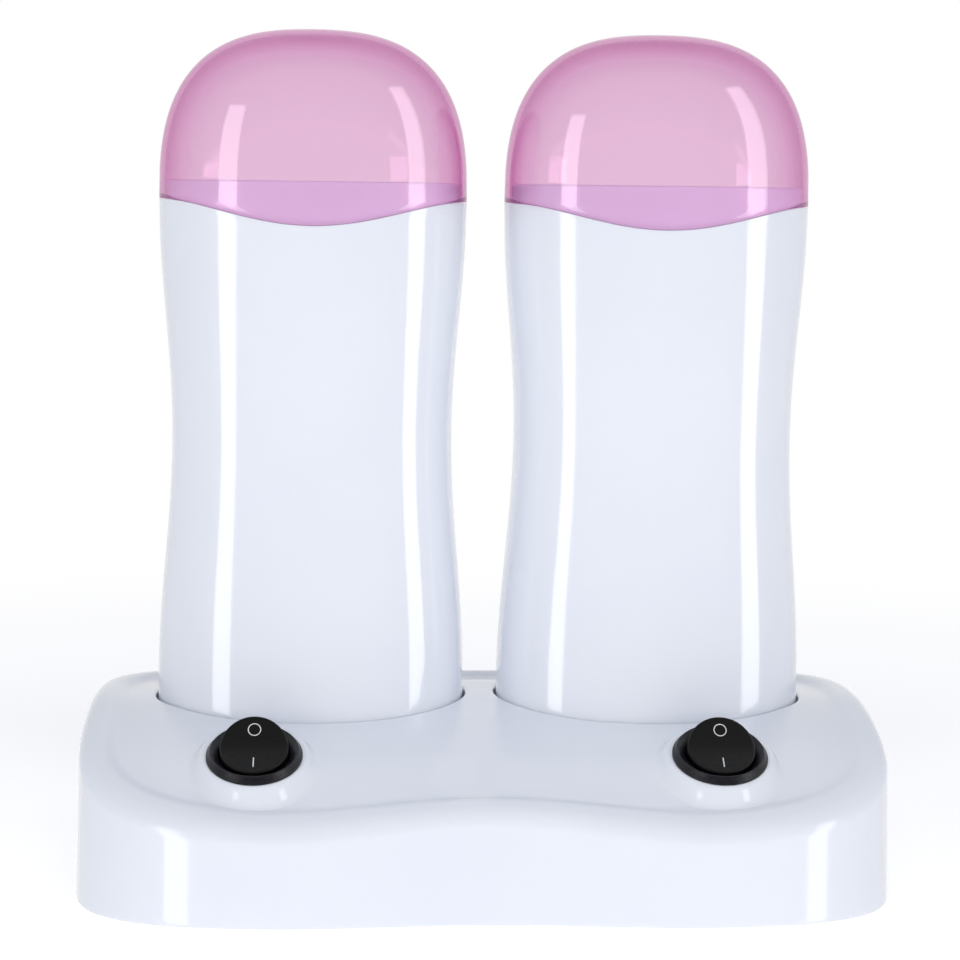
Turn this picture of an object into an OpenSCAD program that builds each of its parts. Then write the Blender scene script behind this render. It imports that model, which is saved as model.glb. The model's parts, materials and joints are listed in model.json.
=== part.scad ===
// Twin roll-on wax heater: two oval handsets standing in a shared base station.
// +Z up, +X to the right, front towards -Y. The origin is on the table, under the
// middle of the base station. Millimetres.

/* [Base station] */
// Overall width of the base station at the table
base_w = 198.6; // [196:0.1:220]
// Squareness of the footprint: 2 is an ellipse, higher is boxier
base_square = 4.6; // [4:0.1:5.4]
// How far the waist is drawn in at the table
waist_foot = 3.4; // [2:0.1:6]
// How far the waist is drawn in at the deck
waist_deck = 5.6; // [3:0.1:7]
// Distance from the middle to where each lobe is fullest
lobe_x = 55; // [50:1:62]
// Wall thickness of the base station
base_wall = 2.4; // [1.8:0.1:3]
// Height of the deck's crest, on the line of the handset axes
deck_h = 43.7; // [41:0.1:48]
// How far the deck falls from its crest to the back edge
deck_fall_back = 1.7; // [0.6:0.1:4]
// How far the upright wall leans in between the table and the deck
wall_lean = 0.8; // [0.4:0.1:2.5]
// Radius of the edge between wall and deck
rim_r = 3.4; // [3:0.1:5]
// Distance from the foot outline to the bottom of the groove inside the rim
groove_in = 10; // [9:0.1:12]
// Depth of that groove below the deck
groove_depth = 1.3; // [0.4:0.1:2]
// Width over which the groove dies out into the deck
groove_spread = 15; // [12:0.5:18]

/* [Switches] */
// Distance between the two switch centres
switch_spacing = 111.4; // [104:0.1:124]
// Distance of the switch centres in from the front edge of the base
switch_in = 22.8; // [21:0.1:24]
// Distance of the switch centres in front of the handsets' front faces
switch_apart = 18.7; // [18:0.1:22]
// Forward lean of the switches, which the deck follows
switch_tilt = 23.1; // [18:0.1:26]
// Height of the round boss under each switch, above the deck
boss_h = 2.2; // [1:0.1:3]
// Outer diameter of the switch bezel
bezel_d = 23; // [22.6:0.1:24]
// Height of the switch bezel over its boss
bezel_h = 2; // [1.9:0.1:2.6]
// Diameter of the panel hole that the switch snaps into
switch_hole_d = 20.2; // [20.2:0.1:20.8]
// Diameter of the switch barrel
barrel_d = 20; // [19.8:0.1:20]
// Depth of the switch barrel behind the panel face
barrel_h = 12.5; // [11:0.1:13.5]
// Diameter of the rocker button
rocker_d = 16.3; // [15:0.1:16.4]
// Angle between the two ends of the rocker's travel
rocker_throw = 40; // [24:1:40]
// Slope of each half of the rocker's hollow face
rocker_dish = 12; // [6:0.5:13]
// Height of the hollow's bottom line over the rocker's pivot
rocker_face_h = 2.3; // [2:0.1:2.6]
// Diameter of the pivot pins at the rocker's sides
rocker_pin_d = 1.2; // [1:0.1:1.2]

/* [Docks] */
// Distance between the two handset axes
dock_spacing = 86; // [84:0.1:92]
// Distance of the handset axes in from the back edge of the base
dock_in = 40.5; // [39:0.1:42]
// Height of the well floor over the table
well_floor_h = 25.3; // [23:0.1:27]
// Gap between a handset and the mouth of its well
well_gap = 0.6; // [0.4:0.1:1.2]
// Wall thickness of the wells
well_wall = 2; // [1.6:0.1:2.4]
// Height of the dock plug over the well floor
plug_h = 10; // [8:0.1:11]

/* [Handset] */
// Width at the shoulder
shoulder_w = 76.6; // [74:0.1:80]
// Width at the grip
grip_w = 70.2; // [68.6:0.1:74]
// How far the foot stands out past the shoulder at each side
foot_flare = 0.4; // [0:0.1:1.2]
// Depth from front to back at the foot and the shoulder
handset_d = 48; // [46:0.1:52]
// Depth from front to back at the grip
grip_d = 47.2; // [46:0.1:52]
// Height up to which the sides stay straight
straight_h = 21.2; // [15:0.1:30]
// Height of the grip, where the sides are closest
grip_h = 84.8; // [78:0.1:92]
// Height of the shoulder seam at the sides
shoulder_h = 142.4; // [136:0.1:150]
// How far the seam dips at the front and the back
seam_dip = 6.1; // [2:0.1:9]
// Roundness of the cross-section: 2 is an ellipse, higher is boxier
oval_square = 2.2; // [2.1:0.05:2.5]
// Wall thickness of the handset shell
handset_wall = 1.6; // [1.4:0.1:1.8]

/* [Cartridge chamber] */
// Width of the chamber for the wax cartridge
chamber_w = 61.6; // [60:0.1:62.4]
// Depth of the chamber from front to back
chamber_t = 32.4; // [31.6:0.1:33]
// Roundness of the chamber: 2 is an ellipse, higher is boxier
chamber_square = 2.6; // [2.4:0.1:2.8]
// Wall thickness of the chamber
chamber_wall = 1.2; // [1:0.1:1.4]
// Depth of the chamber below the collar
chamber_depth = 107; // [100:1:108]
// Height of the collar over the shoulder seam's sides
collar_rise = 4.7; // [3:0.1:8]
// Depth to which the collar reaches down inside the shell
collar_depth = 26; // [20:1:34]

/* [Heater] */
// Thickness of the aluminium heating sleeve
sleeve_t = 0.8; // [0.6:0.1:1]
// Height of the heating sleeve
sleeve_h = 48; // [40:1:54]
// Height of the heating sleeve over the chamber floor
sleeve_up = 6; // [4:0.5:10]
// Width of the ceramic heating element
ptc_w = 20; // [16:0.5:22]
// Height of the ceramic heating element
ptc_h = 32; // [26:1:36]
// Thickness of the ceramic heating element
ptc_t = 2; // [1.6:0.1:2]
// Height of the clip band round the heating element
clip_h = 12; // [8:0.5:16]
// Thickness of the clip band
clip_t = 0.4; // [0.3:0.1:0.5]
// Width of the thermostat
thermostat_w = 7; // [6:0.1:8]
// Length of the thermostat
thermostat_h = 20; // [18:0.1:22]
// Thickness of the thermostat
thermostat_t = 2.8; // [2:0.1:3]

/* [Cap] */
// Height of the cap over the shoulder seam's sides
cap_h = 42; // [36:0.1:48]
// Wall thickness of the cap
cap_wall = 1.2; // [1:0.1:1.3]
// Squareness of the cap's dome: 2 is an ellipse, higher is boxier
cap_square = 2.7; // [2.4:0.05:3]
// Width of the seam between cap and shell
seam_gap = 0.3; // [0.2:0.05:0.5]

/* [Mains sockets] */
// Distance between the two contact pins
pin_pitch = 8.6; // [8.2:0.1:8.8]
// Diameter of the contact pins
pin_d = 2.4; // [2:0.1:2.6]
// Radius of each round end of the socket's mouth
socket_r = 4.2; // [4.1:0.1:4.4]
// Depth of the socket's mouth
socket_depth = 11.6; // [11:0.1:13]
// Wall round the socket's mouth
socket_wall = 1.8; // [1.4:0.1:2]
// Thickness of the panel that a socket sits in
socket_panel = 2.7; // [2.4:0.1:3]
// Height of the power socket over the table
power_h = 15; // [13.5:0.1:16]

/* [Feet and screws] */
// Height of the base shell over the table
foot_h = 0.8; // [0.6:0.1:1.2]
// Diameter of the rubber feet
foot_d = 12; // [9:0.5:14]
// Thickness of the rubber feet
foot_t = 2.2; // [2:0.1:2.6]
// Thickness of the bottom covers
cover_t = 2.6; // [2.4:0.1:3]
// Diameter of the screw shanks
screw_d = 2.8; // [2.4:0.1:3]
// Length of the screw shanks
screw_l = 10; // [8:0.5:12]
// Radius of the posts that the cover's screws bite into
post_r = 4; // [3.4:0.1:4.6]
// Distance of the corner posts in from the ends of the base
post_in = 15.3; // [14:0.1:17]
// Distance between the front and the back corner posts
post_spacing = 48; // [44:1:50]
// Distance of the middle post in from the front edge
front_post_in = 19; // [17:0.5:20]
// Distance of the feet in from the ends of the base
foot_in = 29.3; // [27:0.1:32]
// Distance of the feet in from the front and the back edge
foot_set_back = 20; // [18:0.5:22]

/* [Clearances] */
// Gap between pieces that move apart
move_gap = 0.3; // [0.2:0.05:0.4]
// Gap between pieces that stay together
fit_gap = 0.1; // [0.05:0.01:0.15]
// Radial gap of the rocker's pivot pins
pivot_gap = 0.05; // [0.02:0.01:0.08]

/* [Hidden] */

$fn = 48;
// Points round the base station's outline and round a handset's outline
base_points = 72;
oval_points = 48;

white = [0.93, 0.945, 0.975];
pink = [0.87, 0.66, 0.82, 0.6];
black = [0.09, 0.09, 0.1];
rubber = [0.2, 0.2, 0.21];
metal = [0.75, 0.76, 0.78];
brass = [0.78, 0.64, 0.35];
ceramic = [0.86, 0.84, 0.78];

// The base is as deep as its switches and handsets need, one behind the other
switch_forward = handset_d / 2 + switch_apart;
base_d = switch_in + switch_forward + dock_in;
dock_y = base_d / 2 - dock_in;
switch_y = dock_y - switch_forward;

// Deck: it falls as a parabola to the front, as steeply as the switches lean where
// they sit, and as a flatter parabola to the back.
fall_front = tan(switch_tilt) / (2 * switch_forward);
fall_back = deck_fall_back / pow(dock_in, 2);

// Insets of the rim's crest and of the innermost ring, which closes along a ridge
rim_flat = 1.2;
ridge_half = 5;
crest_in = wall_lean + rim_r + rim_flat;
ridge_in = base_d / 2 - ridge_half;
edge_chamfer = 0.6;

// Switches
boss_foot_out = 4;
boss_top_out = 0.7;
boss_foot_r = bezel_d / 2 + boss_foot_out;
boss_top_r = bezel_d / 2 + boss_top_out;
boss_edge = 0.5;
boss_drop = boss_h + 1.8;
boss_steps = 5;
bezel_in_r = norm([rocker_d / 2, rocker_face_h + rocker_d / 2 * tan(rocker_dish)]) + move_gap;
pivot_h = move_gap + 0.1 + rocker_pin_d / 2;
pin_reach = bezel_in_r + 0.8;
pin_end_gap = 0.2;
rocker_skirt = 3;
dish_flat = 2;
barrel_floor = 5;
panel_thin_h = 8;
terminal_l = 7.5;
terminal_w = 4.8;
terminal_t = 0.8;
terminal_y = 4.5;
snap_w = 6;
snap_out = 0.9;
snap_h = 4;
snap_root = 1;

// Sockets and plugs
socket_w = pin_pitch + 2 * socket_r + 2 * socket_wall;
socket_t = 2 * socket_r + 2 * socket_wall;
socket_back_t = 1.6;
socket_h = socket_depth + socket_back_t;
flange_out = 2;
flange_t = 1.5;
plug_r = socket_r - 0.5;
plug_flange_out = 2.5;
plug_flange_t = 2;
contact_r = pin_d / 2 + move_gap;
contact_t = 0.5;
contact_floor = 1;
contact_tail = 2;
contact_low = 0.4;
pin_set_back = 2;
pin_tail = 4;
pin_tip = 0.6;
pin_tip_d = pin_d - 0.8;
pin_collar_d = pin_d + 1;
pin_collar_t = 0.6;

// Base station
cover_top = foot_h + cover_t;
cover_in = base_wall + 2 * fit_gap;
well_bottom = well_floor_h - well_wall;
pocket_margin = 3.2;
pocket_y = base_d / 2 - waist_deck - wall_lean - 1;
post_places = concat(
    [for (x = [-1, 1], y = [-1, 1]) [x * (base_w / 2 - post_in), y * post_spacing / 2]],
    [[0, front_post_in - base_d / 2]]
);
foot_places = [for (x = [-1, 1], y = [-1, 1])
    [x * (base_w / 2 - foot_in), y * (base_d / 2 - foot_set_back)]];
foot_edge = 0.5;
screw_head_r = screw_d / 2 + 1.3;
screw_head_h = 1.6;
// How far cutting bodies reach past the faces that they cut
past = 1;

// Handset, measured from its own foot
handset_z = well_floor_h + move_gap;
foot_w = shoulder_w + 2 * foot_flare;
collar_h = shoulder_h + collar_rise;
chamber_floor = collar_h - chamber_depth;
liner_w = chamber_w + 2 * chamber_wall;
liner_t = chamber_t + 2 * chamber_wall;
below_seam = 5;
foot_chamfer = 0.8;
foot_ledge = 0.8;
bottom_in = handset_wall + foot_ledge;
bottom_z = 0.3;
bottom_top = bottom_z + cover_t;
handset_post_r = 3.4;
handset_post_x = foot_w / 2 - handset_wall - handset_post_r - 0.6;
handset_post_h = 24;
handset_rib_t = 2;
collar_in = handset_wall + fit_gap;
collar_bottom = shoulder_h - collar_depth;
collar_middle = shoulder_h - collar_depth / 2;
collar_wall = 1;
collar_edge = 0.6;
sleeve_z = chamber_floor + sleeve_up;
sleeve_w = liner_w + 2 * fit_gap + 2 * sleeve_t;
sleeve_d = liner_t + 2 * fit_gap + 2 * sleeve_t;
pad_margin = 1;
pad_y = sleeve_d / 2 + 0.2;
pad_w = ptc_w + 2 * pad_margin;
ptc_z = sleeve_z + (sleeve_h - ptc_h) / 2;
clip_z = sleeve_z + (sleeve_h - clip_h) / 2;

// ---- Curves ----

// A point of an oval of half-sizes a and b, at the same angle in any oval
function oval_point(a, b, n, t) =
    let (r = pow(pow(abs(cos(t)), n) + pow(abs(sin(t)), n), -1 / n))
    [a * r * cos(t), b * r * sin(t)];
function angles(count) = [for (i = [0 : count - 1]) (i + 0.5) * 360 / count];
function oval(w, d, n, count = oval_points) =
    [for (t = angles(count)) oval_point(w / 2, d / 2, n, t)];

// A smooth step from a to b as s goes from 0 to 1
function ease(a, b, s) = a + (b - a) * (1 - cos(180 * max(0, min(1, s)))) / 2;

function deck_z(y) =
    deck_h - (y < dock_y ? fall_front : fall_back) * pow(y - dock_y, 2);

// How far the deck lies below its arch at a distance in from the foot outline
function rim_drop(inset) = groove_depth * (inset < groove_in
    ? ease(0, 1, (inset - crest_in) / (groove_in - crest_in))
    : ease(1, 0, (inset - groove_in) / groove_spread));

// The footprint's outline, set in by inset, with its waist drawn in by waist
function base_outline(inset, waist) = [
    for (t = angles(base_points))
        let (
            p = oval_point(base_w / 2 - inset, base_d / 2 - inset, base_square, t),
            s = abs(p.x) < lobe_x ? pow(cos(90 * p.x / lobe_x), 2) : 0
        )
        [p.x, p.y * (1 - s * waist / (base_d / 2))]
];
function foot_ring(inset, z) =
    [for (p = base_outline(inset, waist_foot)) [p.x, p.y, z]];
function deck_ring(inset, drop) =
    [for (p = base_outline(inset, waist_deck)) [p.x, p.y, deck_z(p.y) - drop]];

function handset_w(z) = z < grip_h
    ? ease(foot_w, grip_w, (z - straight_h) / (grip_h - straight_h))
    : ease(grip_w, shoulder_w, (z - grip_h) / (shoulder_h - grip_h));
function handset_t(z) = z < grip_h
    ? ease(handset_d, grip_d, (z - straight_h) / (grip_h - straight_h))
    : ease(grip_d, handset_d, (z - grip_h) / (shoulder_h - grip_h));
function handset_ring(z, inset) = [
    for (p = oval(handset_w(z) - 2 * inset, handset_t(z) - 2 * inset, oval_square))
        [p.x, p.y, z]
];
// The same, following the seam that dips at the front and the back
function seam_z(x) = shoulder_h - seam_dip * pow(1 - pow(min(1, abs(2 * x / shoulder_w)), 2), 2);
function seam_ring(inset, up) = [
    for (p = oval(shoulder_w - 2 * inset, handset_d - 2 * inset, oval_square))
        [p.x, p.y, seam_z(p.x) + up]
];
// A ring of the dome at angle a above the shoulder, set in by inset
function dome_ring(a, inset) =
    let (
        k = pow(cos(a), 2 / cap_square),
        z = shoulder_h + (cap_h - inset) * pow(sin(a), 2 / cap_square)
    )
    [for (p = oval((shoulder_w - 2 * inset) * k, (handset_d - 2 * inset) * k, oval_square))
        [p.x, p.y, z]];

// ---- Shared shapes ----

// A closed skin over rings of equal count, from the bottom up or round a wall. Its
// ends are closed by strips across the narrow way.
module loft(rings) {
    count = len(rings[0]);
    last = len(rings) - 1;
    half = count / 2;
    function at(k, i) = k * count + i % count;
    sides = [for (k = [0 : last - 1], i = [0 : count - 1]) each [
        [at(k, i), at(k + 1, i), at(k + 1, i + 1)],
        [at(k, i), at(k + 1, i + 1), at(k, i + 1)]
    ]];
    bottom = [for (i = [0 : half - 2]) each [
        [at(0, i), at(0, i + 1), at(0, count - 1 - i)],
        [at(0, i + 1), at(0, count - 2 - i), at(0, count - 1 - i)]
    ]];
    top = [for (i = [0 : half - 2]) each [
        [at(last, i), at(last, count - 1 - i), at(last, i + 1)],
        [at(last, i + 1), at(last, count - 1 - i), at(last, count - 2 - i)]
    ]];
    polyhedron(
        points = [for (r = rings) each r],
        faces = concat(sides, bottom, top),
        convexity = 8
    );
}

module oval_prism(w, d, n, z0, z1) {
    translate([0, 0, z0]) linear_extrude(z1 - z0) polygon(oval(w, d, n));
}

module centred_box(x, y, z0, z1) {
    translate([-x / 2, -y / 2, z0]) cube([x, y, z1 - z0]);
}

// Two round ends and a slightly narrower middle, as a two-pin socket has
module twin_round(r) {
    for (s = [-1, 1]) translate([s * pin_pitch / 2, 0]) circle(r);
    square([pin_pitch, 1.7 * r], center = true);
}

module screw(l) {
    cylinder(r = screw_head_r, h = screw_head_h);
    cylinder(d = screw_d, h = screw_head_h + l);
}

module at_dock(side) {
    translate([side * dock_spacing / 2, dock_y, 0]) children();
}
module at_handset(side) {
    at_dock(side) translate([0, 0, handset_z]) children();
}
// The middle of a switch's boss, with +Z out of the panel and +Y up the slope
module at_switch(side) {
    translate([side * switch_spacing / 2, switch_y, deck_z(switch_y)])
        rotate([switch_tilt, 0, 0]) translate([0, 0, boss_h]) children();
}
module at_power() {
    translate([0, pocket_y, power_h]) rotate([90, 0, 0]) children();
}

// ---- Base station ----

// The moulded outside: leaning wall, round rim, groove and arched deck
module base_outside() {
    loft(concat(
        [foot_ring(edge_chamfer, foot_h), foot_ring(0, foot_h + edge_chamfer)],
        [for (a = [0 : 18 : 72])
            deck_ring(wall_lean + rim_r * (1 - cos(a)), rim_r * (1 - sin(a)))],
        [for (s = [0, 0.5, 1]) let (d = crest_in + s * (groove_in - crest_in))
            deck_ring(d, rim_drop(d))],
        [for (s = [0.25, 0.5, 0.75, 1]) let (d = groove_in + s * groove_spread)
            deck_ring(d, rim_drop(d))],
        [for (s = [0.5, 1]) let (d = groove_in + groove_spread)
            deck_ring(d + s * (ridge_in - d), 0)]
    ));
}

// The hollow inside, open at the bottom
module base_inside() {
    loft([
        foot_ring(base_wall, foot_h - past),
        foot_ring(base_wall, cover_top),
        deck_ring(base_wall + wall_lean, rim_r + base_wall / 2),
        deck_ring(base_wall + wall_lean + 0.3 * rim_r, 0.3 * rim_r + base_wall),
        deck_ring(groove_in, groove_depth + base_wall),
        deck_ring(groove_in + groove_spread / 2, groove_depth / 2 + base_wall),
        deck_ring(groove_in + groove_spread, base_wall),
        deck_ring(ridge_in, base_wall)
    ]);
}

// A low round boss with a curved skirt that runs out into the deck
module switch_boss() {
    rotate_extrude()
        polygon(concat(
            [[0, -boss_drop - past], [boss_foot_r, -boss_drop - past]],
            [for (i = [0 : boss_steps]) let (s = 1 - i / boss_steps)
                [boss_top_r + (boss_foot_r - boss_top_r) * s * s,
                    -boss_edge - (boss_drop - boss_edge) * s]],
            [[boss_top_r - boss_edge / 3, -boss_edge / 3], [boss_top_r - boss_edge, 0], [0, 0]]
        ));
}

module base_shell() {
    color(white)
    difference() {
        union() {
            base_outside();
            for (side = [-1, 1]) at_switch(side) switch_boss();
        }
        difference() {
            base_inside();
            // Wells, screw posts and the pad for the power socket stay solid
            for (side = [-1, 1]) at_dock(side)
                oval_prism(foot_w + 2 * (well_gap + well_wall), handset_d + 2 * (well_gap + well_wall),
                    oval_square, well_bottom, deck_h + past);
            for (p = post_places) translate([p.x, p.y, cover_top]) cylinder(r = post_r, h = deck_h);
            translate([-socket_w / 2 - 2 * pocket_margin, pocket_y - socket_panel, cover_top])
                cube([socket_w + 4 * pocket_margin, base_d,
                    power_h + socket_t / 2 + pocket_margin - cover_top]);
        }
        for (side = [-1, 1]) {
            at_dock(side) {
                oval_prism(foot_w + 2 * well_gap, handset_d + 2 * well_gap, oval_square,
                    well_floor_h, deck_h + past);
                translate([0, 0, well_bottom - past]) linear_extrude(well_wall + 2 * past)
                    twin_round(plug_r + fit_gap);
            }
            at_switch(side) {
                cylinder(d = switch_hole_d, h = 2 * barrel_h, center = true);
                // The panel is thinned from inside, so that the switch snaps in
                translate([0, 0, -base_wall - panel_thin_h]) cylinder(r = boss_top_r, h = panel_thin_h);
            }
        }
        for (p = post_places) translate([p.x, p.y, 0])
            cylinder(d = screw_d + 2 * fit_gap, h = cover_top + screw_l);
        // A flat pocket for the power socket in the back wall
        translate([-socket_w / 2 - pocket_margin, pocket_y, power_h - socket_t / 2 - pocket_margin])
            cube([socket_w + 2 * pocket_margin, base_d, socket_t + 2 * pocket_margin]);
        at_power()
            centred_box(socket_w + 2 * fit_gap, socket_t + 2 * fit_gap, -past, socket_panel + past);
    }
}

module base_cover() {
    color(white)
    difference() {
        translate([0, 0, foot_h]) linear_extrude(cover_t)
            polygon(base_outline(cover_in, waist_foot));
        for (p = post_places) translate([p.x, p.y, 0]) {
            cylinder(d = screw_d + 2 * fit_gap, h = cover_top + past);
            cylinder(r = screw_head_r + fit_gap, h = foot_h + screw_head_h);
        }
        for (p = foot_places) translate([p.x, p.y, 0])
            cylinder(d = foot_d + 2 * fit_gap, h = foot_t);
    }
}

module cover_screws() {
    color(metal)
    for (p = post_places) translate([p.x, p.y, foot_h]) screw(screw_l - 1);
}

module rubber_feet() {
    color(rubber)
    for (p = foot_places) translate([p.x, p.y, 0]) {
        cylinder(d1 = foot_d - 2 * foot_edge, d2 = foot_d, h = foot_edge);
        translate([0, 0, foot_edge]) cylinder(d = foot_d, h = foot_t - foot_edge);
    }
}

// A two-pin socket, seen with its mouth at z = 0 facing down and its flange behind
// the panel
module socket() {
    difference() {
        union() {
            centred_box(socket_w, socket_t, 0, socket_h);
            centred_box(socket_w + 2 * flange_out, socket_t + 2 * flange_out,
                socket_panel, socket_panel + flange_t);
        }
        translate([0, 0, -past]) linear_extrude(socket_depth + past) twin_round(socket_r);
        for (s = [-1, 1]) translate([s * pin_pitch / 2, 0, socket_depth - past])
            cylinder(d = pin_d + 2 * fit_gap, h = socket_h);
    }
}
module socket_pins() {
    for (s = [-1, 1]) translate([s * pin_pitch / 2, 0, 0]) {
        translate([0, 0, pin_set_back]) cylinder(d1 = pin_tip_d, d2 = pin_d, h = pin_tip);
        translate([0, 0, pin_set_back + pin_tip])
            cylinder(d = pin_d, h = socket_h + pin_tail - pin_set_back - pin_tip);
        translate([0, 0, socket_h]) cylinder(d = pin_collar_d, h = pin_collar_t);
    }
}
module power_inlet() {
    color(black) at_power() socket();
}
module power_inlet_pins() {
    color(brass) at_power() socket_pins();
}

// The plug that stands in a well and feeds the handset's socket
module dock_plug() {
    color(black)
    difference() {
        union() {
            translate([0, 0, well_bottom - plug_flange_t])
                linear_extrude(well_wall + plug_h + plug_flange_t) twin_round(plug_r);
            centred_box(pin_pitch + 2 * (plug_r + plug_flange_out), 2 * (plug_r + plug_flange_out),
                well_bottom - plug_flange_t, well_bottom);
        }
        for (s = [-1, 1]) translate([s * pin_pitch / 2, 0, 0])
            cylinder(r = contact_r + contact_t + fit_gap, h = well_floor_h + plug_h + past);
    }
}
module dock_contacts() {
    h = contact_tail + plug_flange_t + well_wall + plug_h - contact_low;
    color(brass)
    for (s = [-1, 1]) translate([s * pin_pitch / 2, 0, well_bottom - plug_flange_t - contact_tail])
        difference() {
            cylinder(r = contact_r + contact_t, h = h);
            translate([0, 0, contact_floor]) cylinder(r = contact_r, h = h);
        }
}
module left_dock_plug() { at_dock(-1) dock_plug(); }
module right_dock_plug() { at_dock(1) dock_plug(); }
module left_dock_contacts() { at_dock(-1) dock_contacts(); }
module right_dock_contacts() { at_dock(1) dock_contacts(); }

// ---- Rocker switches ----

module switch_body() {
    color(black)
    difference() {
        union() {
            rotate_extrude()
                polygon([
                    [0, 0], [bezel_d / 2, 0], [bezel_d / 2, 0.5], [bezel_d / 2 - 0.3, 0.9],
                    [bezel_in_r + 0.5, bezel_h], [0, bezel_h]
                ]);
            translate([0, 0, -barrel_h]) cylinder(d = barrel_d, h = barrel_h);
            // Snaps that hold the barrel behind the panel
            for (s = [-1, 1]) scale([s, 1, 1]) translate([0, snap_w / 2, 0]) rotate([90, 0, 0])
                linear_extrude(snap_w)
                    translate([barrel_d / 2, -base_wall - fit_gap])
                        polygon([
                            [-snap_root, 0], [snap_out, 0],
                            [-snap_root / 3, -snap_h], [-snap_root, -snap_h]
                        ]);
        }
        translate([0, 0, -barrel_floor]) cylinder(r = bezel_in_r, h = barrel_floor + bezel_h + past);
        translate([0, 0, pivot_h]) rotate([0, 90, 0])
            cylinder(d = rocker_pin_d + 2 * pivot_gap, h = 2 * (pin_reach + pin_end_gap),
                center = true);
    }
}

module switch_terminals() {
    color(brass)
    for (s = [-1, 1]) translate([0, s * terminal_y, 0])
        centred_box(terminal_w, terminal_t, -barrel_h - terminal_l, -barrel_h);
}

// The rocker rests with its front half pressed in
module rocker() {
    edge = rocker_d / 2 + past;
    slope = tan(rocker_dish);
    color(black)
    translate([0, 0, pivot_h]) rotate([rocker_throw / 2, 0, 0]) {
        intersection() {
            translate([0, 0, -rocker_skirt])
                cylinder(d = rocker_d, h = rocker_skirt + rocker_face_h + edge * slope);
            rotate([90, 0, 90]) linear_extrude(2 * edge, center = true)
                polygon([
                    [-edge, -rocker_skirt], [edge, -rocker_skirt],
                    [edge, rocker_face_h + edge * slope],
                    [dish_flat, rocker_face_h + dish_flat * slope],
                    [0, rocker_face_h + dish_flat * slope / 2],
                    [-dish_flat, rocker_face_h + dish_flat * slope],
                    [-edge, rocker_face_h + edge * slope]
                ]);
        }
        rotate([0, 90, 0]) cylinder(d = rocker_pin_d, h = 2 * pin_reach, center = true);
    }
}
module left_switch_body() { at_switch(-1) switch_body(); }
module right_switch_body() { at_switch(1) switch_body(); }
module left_switch_terminals() { at_switch(-1) switch_terminals(); }
module right_switch_terminals() { at_switch(1) switch_terminals(); }
module left_rocker() { at_switch(-1) rocker(); }
module right_rocker() { at_switch(1) rocker(); }

// ---- Handsets ----

module handset_shell() {
    seam_low = shoulder_h - seam_dip - below_seam;
    color(white)
    difference() {
        loft(concat(
            [handset_ring(0, foot_chamfer), handset_ring(foot_chamfer, 0)],
            [for (s = [0 : 5]) handset_ring(straight_h + (grip_h - straight_h) * s / 5, 0)],
            [for (s = [1 : 4]) handset_ring(grip_h + (seam_low - grip_h) * s / 4, 0)],
            [seam_ring(0, 0)]
        ));
        difference() {
            loft(concat(
                [handset_ring(-past, bottom_in), handset_ring(bottom_top + 0.4, bottom_in),
                    handset_ring(bottom_top + 0.5 + foot_ledge, handset_wall)],
                [for (s = [0 : 3])
                    handset_ring(straight_h + (grip_h - straight_h) * s / 3, handset_wall)],
                [for (z = [(grip_h + collar_bottom) / 2, collar_bottom, collar_middle, shoulder_h])
                    handset_ring(z, handset_wall)],
                [[for (p = handset_ring(shoulder_h, handset_wall)) p + [0, 0, 2 * past]]]
            ));
            // Posts for the bottom screws, joined to the wall
            for (s = [-1, 1]) translate([s * handset_post_x, 0, bottom_top]) {
                cylinder(r = handset_post_r, h = handset_post_h);
                translate([s > 0 ? 0 : -foot_w, -handset_rib_t / 2, 0])
                    cube([foot_w, handset_rib_t, handset_post_h]);
            }
        }
        for (s = [-1, 1]) translate([s * handset_post_x, 0, 0])
            cylinder(d = screw_d + 2 * fit_gap, h = bottom_top + screw_l);
    }
}

// The cup that takes the cartridge: its collar closes the shell's mouth
module chamber() {
    skirt_in = collar_in + collar_wall;
    color(white)
    difference() {
        union() {
            loft(concat(
                [handset_ring(collar_bottom, skirt_in), handset_ring(collar_bottom + collar_wall,
                    collar_in + fit_gap)],
                [for (z = [collar_middle, shoulder_h, collar_h - collar_edge])
                    handset_ring(z, collar_in)],
                [handset_ring(collar_h, collar_in + collar_edge)]
            ));
            oval_prism(liner_w, liner_t, chamber_square, chamber_floor - chamber_wall, collar_middle);
        }
        oval_prism(chamber_w, chamber_t, chamber_square, chamber_floor, collar_h + past);
        // The collar is a flange and a skirt, open below
        difference() {
            translate([0, 0, collar_bottom - past]) linear_extrude(collar_depth - past)
                polygon(oval(grip_w - 2 * skirt_in, grip_d - 2 * skirt_in, oval_square));
            oval_prism(liner_w, liner_t, chamber_square, 0, shoulder_h);
        }
    }
}

module heat_sleeve() {
    color(metal)
    difference() {
        union() {
            oval_prism(sleeve_w, sleeve_d, chamber_square, sleeve_z, sleeve_z + sleeve_h);
            translate([-pad_w / 2, 0, ptc_z - pad_margin])
                cube([pad_w, pad_y, ptc_h + 2 * pad_margin]);
        }
        oval_prism(liner_w + 2 * fit_gap, liner_t + 2 * fit_gap, chamber_square,
            sleeve_z - past, sleeve_z + sleeve_h + past);
    }
}

module ptc_heater() {
    color(ceramic)
    translate([-ptc_w / 2, pad_y, ptc_z]) cube([ptc_w, ptc_t, ptc_h]);
}

module heater_clip() {
    over = 2 * (fit_gap + clip_t);
    color(metal)
    translate([0, 0, clip_z]) linear_extrude(clip_h)
        difference() {
            union() {
                polygon(oval(sleeve_w + over, sleeve_d + over, chamber_square));
                translate([-pad_w / 2 - over / 2, 0])
                    square([pad_w + over, pad_y + ptc_t + over / 2]);
            }
            polygon(oval(sleeve_w + 2 * fit_gap, sleeve_d + 2 * fit_gap, chamber_square));
            translate([-pad_w / 2 - fit_gap, 0])
                square([pad_w + 2 * fit_gap, pad_y + ptc_t + fit_gap]);
        }
}

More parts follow.
